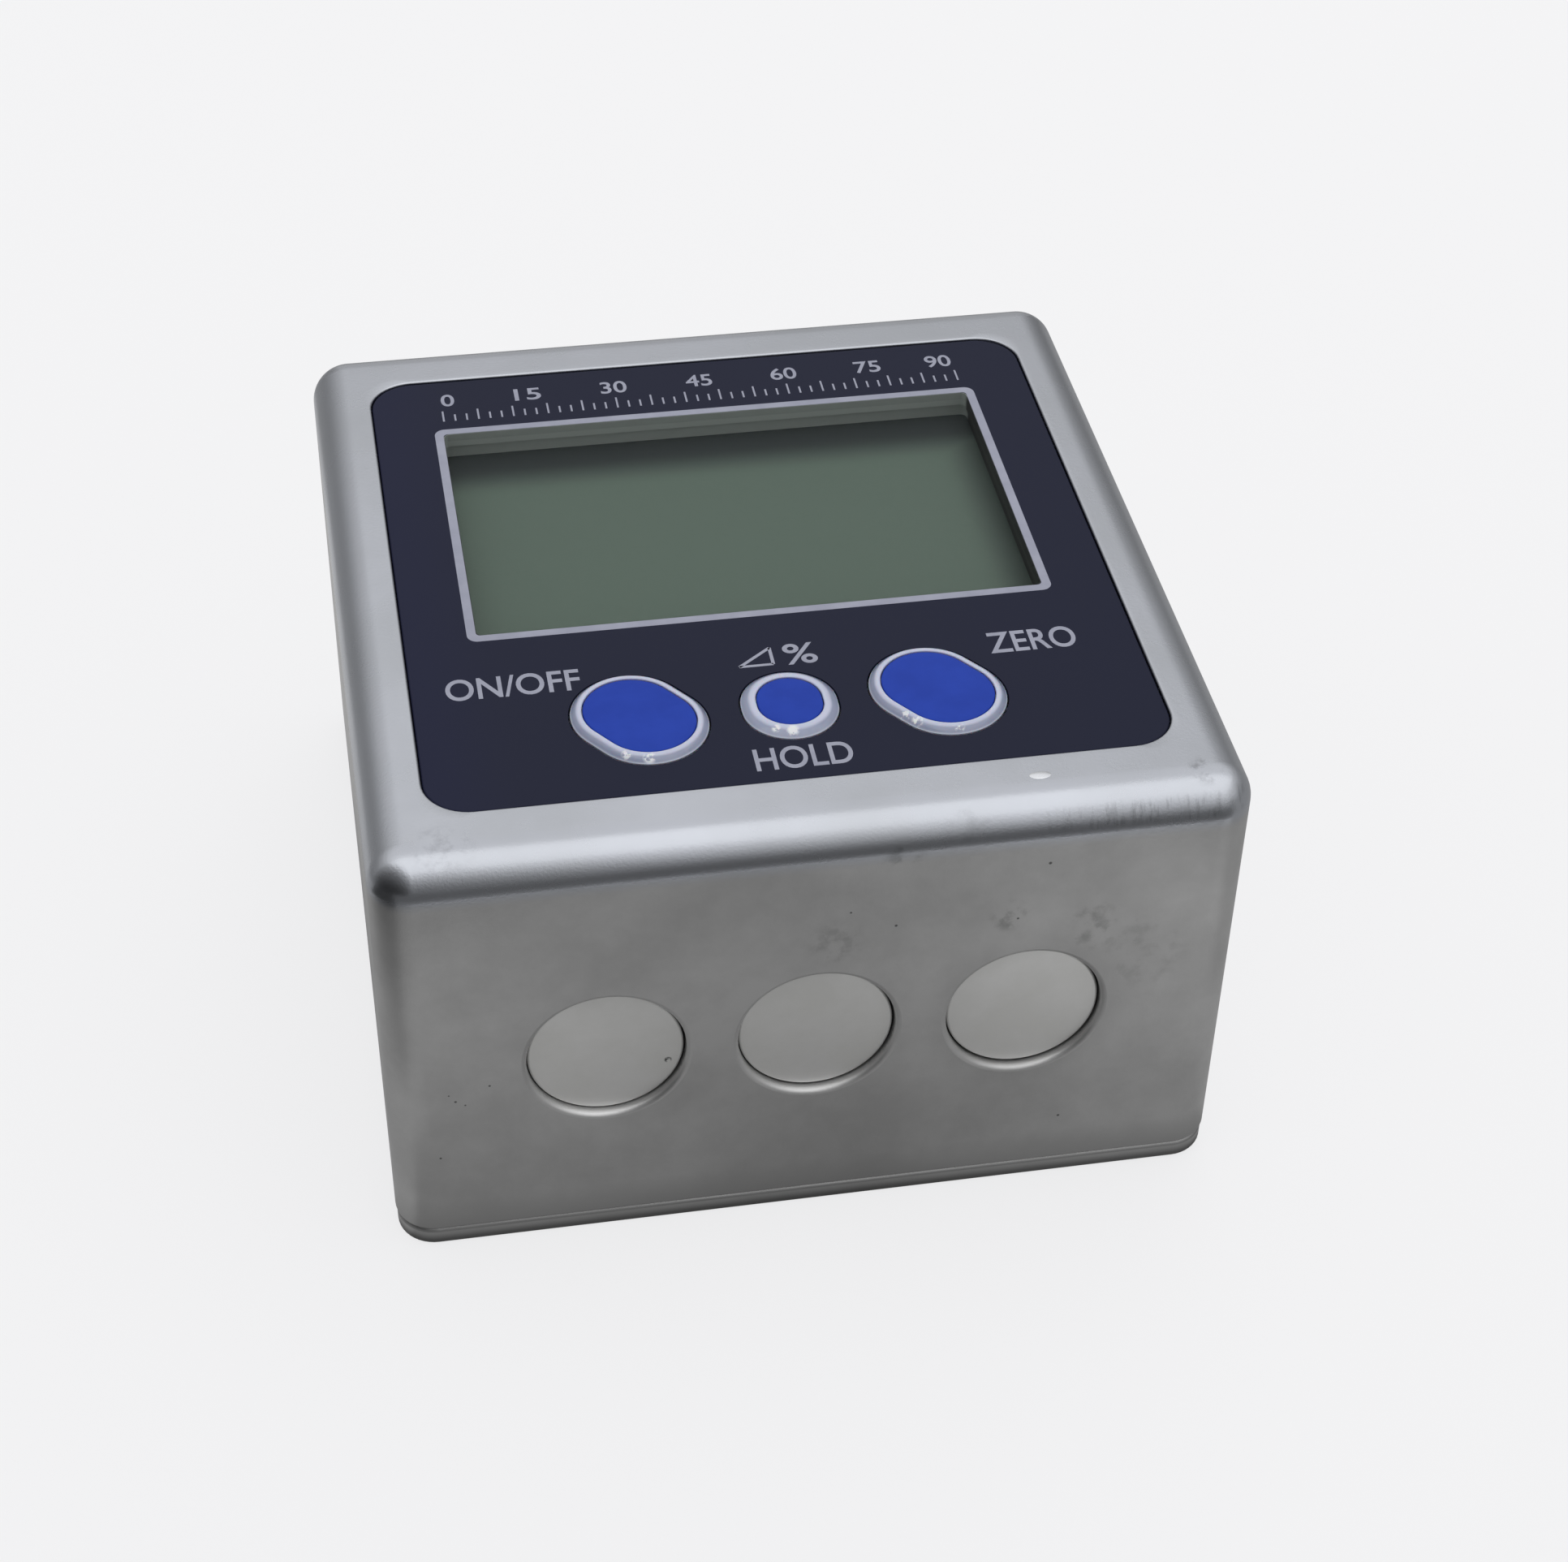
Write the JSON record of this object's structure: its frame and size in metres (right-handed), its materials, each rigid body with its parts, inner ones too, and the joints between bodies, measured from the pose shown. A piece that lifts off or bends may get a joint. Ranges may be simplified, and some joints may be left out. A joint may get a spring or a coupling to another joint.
{
  "type": "digital angle gauge",
  "caption": "Box-shaped digital angle gauge: drawn steel cover, dark face panel with display window and blue keys, magnets in one edge, sliding battery door behind.",
  "frame": {"origin": "centre of the back plate's resting face, under the middle of the case", "axes": "+Z out of the display face, +Y towards the display's upper edge, magnets in the -Y side"},
  "size_m": [0.055, 0.0576, 0.0333],
  "materials": {
    "steel": "satin, fine bead-blasted grain",
    "panel": "glossy navy-black",
    "clear_window": "clear glossy plastic",
    "display_glass": "green-grey liquid crystal, smooth",
    "black_mould": "fine matt mould texture",
    "grey_rubber": "matt",
    "board": "green solder mask",
    "nickel": "nickel plated, satin",
    "milky_rim": "milky translucent rubber",
    "blue_top": "smooth royal blue",
    "cell_wrap": "gloss sleeve",
    "contact_strip": "bright spring metal",
    "screw_steel": "zinc plated"
  },
  "bodies": {
    "case": {"front_cover": "steel", "face_panel": "panel", "display_window": "clear_window", "inner_frame": "black_mould", "lcd_glass": "display_glass", "zebra_strips": "grey_rubber", "circuit_board": "board", "tilt_sensor": "black_mould", "controller_chip": "black_mould", "crystal": "nickel", "magnet_left": "nickel", "magnet_middle": "nickel", "magnet_right": "nickel", "battery_tray": "black_mould", "battery_left": "cell_wrap", "battery_right": "cell_wrap", "positive_contact": "contact_strip", "negative_contact": "contact_strip", "cell_link": "contact_strip", "back_plate": "steel", "back_screws": "screw_steel", "board_screws": "screw_steel", "power_switch": "black_mould", "hold_switch": "black_mould", "zero_switch": "black_mould"},
    "power_key": {"power_key_cap": "milky_rim", "power_key_top": "blue_top", "power_plunger": "black_mould"},
    "hold_key": {"hold_key_cap": "milky_rim", "hold_key_top": "blue_top", "hold_plunger": "black_mould"},
    "zero_key": {"zero_key_cap": "milky_rim", "zero_key_top": "blue_top", "zero_plunger": "black_mould"},
    "door": {"battery_door": "black_mould"}
  },
  "joints": [
    {"name": "power_press", "type": "slide", "parent": "case", "child": "power_key", "axis": [0, 0, -1], "range_m": [0, 0.0003], "stiffness_N_per_m": 1500, "springref_m": -0.0003},
    {"name": "hold_press", "type": "slide", "parent": "case", "child": "hold_key", "axis": [0, 0, -1], "range_m": [0, 0.0003], "stiffness_N_per_m": 1500, "springref_m": -0.0003},
    {"name": "zero_press", "type": "slide", "parent": "case", "child": "zero_key", "axis": [0, 0, -1], "range_m": [0, 0.0003], "stiffness_N_per_m": 1500, "springref_m": -0.0003},
    {"name": "door_slide", "type": "slide", "parent": "case", "child": "door", "axis": [0, 1, 0], "range_m": [0, 0.045]}
  ]
}
